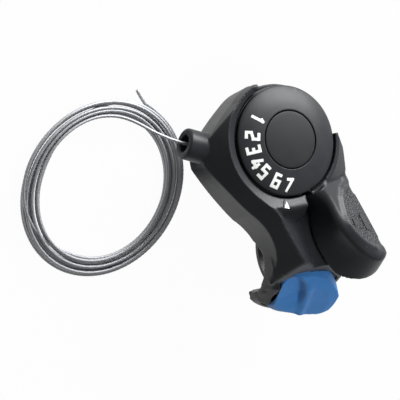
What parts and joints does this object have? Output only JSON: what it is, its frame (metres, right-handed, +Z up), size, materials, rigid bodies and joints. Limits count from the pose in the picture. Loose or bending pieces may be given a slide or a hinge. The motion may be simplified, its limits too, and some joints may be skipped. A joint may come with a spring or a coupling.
{
  "type": "thumb shifter",
  "caption": "Handlebar thumb shifter with domed gear display dial, grip-padded thumb lever, blue release button, bar saddle with strap, and a loose coil of bare cable at its outlet barrel.",
  "frame": {"origin": "on the handlebar axis at the middle of the clamp strap", "axes": "+X along the handlebar towards the grip, +Y forward away from the rider, +Z up as it lies on a table on its strap, its dial housing and the cable coil"},
  "size_m": [0.1235, 0.0865, 0.0434],
  "materials": {
    "body_plastic": "fine grained black glass-filled nylon",
    "dial_plastic": "fine spark-eroded dark grey",
    "cap_plastic": "fine spark-eroded dark grey",
    "lever_plastic": "fine grained black nylon",
    "button_plastic": "satin blue",
    "strap_paint": "black coated steel strip",
    "fastener_steel": "zinc plated",
    "stamped_steel": "stamped, tumbled",
    "spring_steel": "oiled spring strip",
    "cable_steel": "stranded, drawn",
    "spool_plastic": "natural acetal",
    "nipple_brass": "cast cable head"
  },
  "bodies": {
    "bracket": {"bracket_body": "body_plastic", "base_plate": "stamped_steel", "base_screws": "fastener_steel", "main_axle": "fastener_steel", "axle_washer": "fastener_steel", "axle_nut": "fastener_steel", "thrust_washer": "stamped_steel", "cable_run": "cable_steel", "cable_lead": "cable_steel", "cable_coil": "cable_steel", "cable_tail": "cable_steel", "lever_spring": "spring_steel", "pawl_post": "fastener_steel", "pawl_spring": "spring_steel", "clamp_strap": "strap_paint", "clamp_bolt": "fastener_steel", "clamp_nut": "fastener_steel"},
    "winder": {"indicator_dial": "dial_plastic", "dial_cap": "cap_plastic", "cable_spool": "spool_plastic", "index_ratchet": "stamped_steel", "drive_ratchet": "stamped_steel", "cable_nipple": "nipple_brass"},
    "lever": {"thumb_lever": "lever_plastic", "lever_plate": "stamped_steel", "drive_pawl_pin": "fastener_steel"},
    "push_pawl": {"drive_pawl": "stamped_steel"},
    "release": {"release_button": "button_plastic", "release_plate": "stamped_steel"},
    "catch_pawl": {"holding_pawl": "stamped_steel"}
  },
  "joints": [
    {"name": "dial_turn", "type": "hinge", "parent": "bracket", "child": "winder", "pos_m": [-0.0106, 0.0426, 0.00465], "axis": [0, 0.368, 0.9298], "range_deg": [0, 120]},
    {"name": "lever_swing", "type": "hinge", "parent": "bracket", "child": "lever", "pos_m": [-0.0106, 0.04407, 0.00837], "axis": [0, 0.368, 0.9298], "range_deg": [0, 65], "stiffness_Nm_per_rad": 0.25, "springref_deg": -8.59},
    {"name": "drive_pawl_tilt", "type": "hinge", "parent": "lever", "child": "push_pawl", "pos_m": [0.00225, 0.05129, 0.00304], "axis": [0, 0.368, 0.9298], "range_deg": [-12, 0], "stiffness_Nm_per_rad": 0.01, "springref_deg": 5.73},
    {"name": "release_press", "type": "slide", "parent": "bracket", "child": "release", "axis": [0, 0.9298, -0.368], "range_m": [0, 0.0025], "stiffness_N_per_m": 1200, "springref_m": -0.0015},
    {"name": "holding_pawl_lift", "type": "hinge", "parent": "bracket", "child": "catch_pawl", "pos_m": [-0.0126, 0.02561, 0.00492], "axis": [0, 0.368, 0.9298], "range_deg": [0, 18]}
  ],
  "couplings": [
    {"joint": "holding_pawl_lift", "follows": "release_press", "rad_per_m": 120}
  ]
}
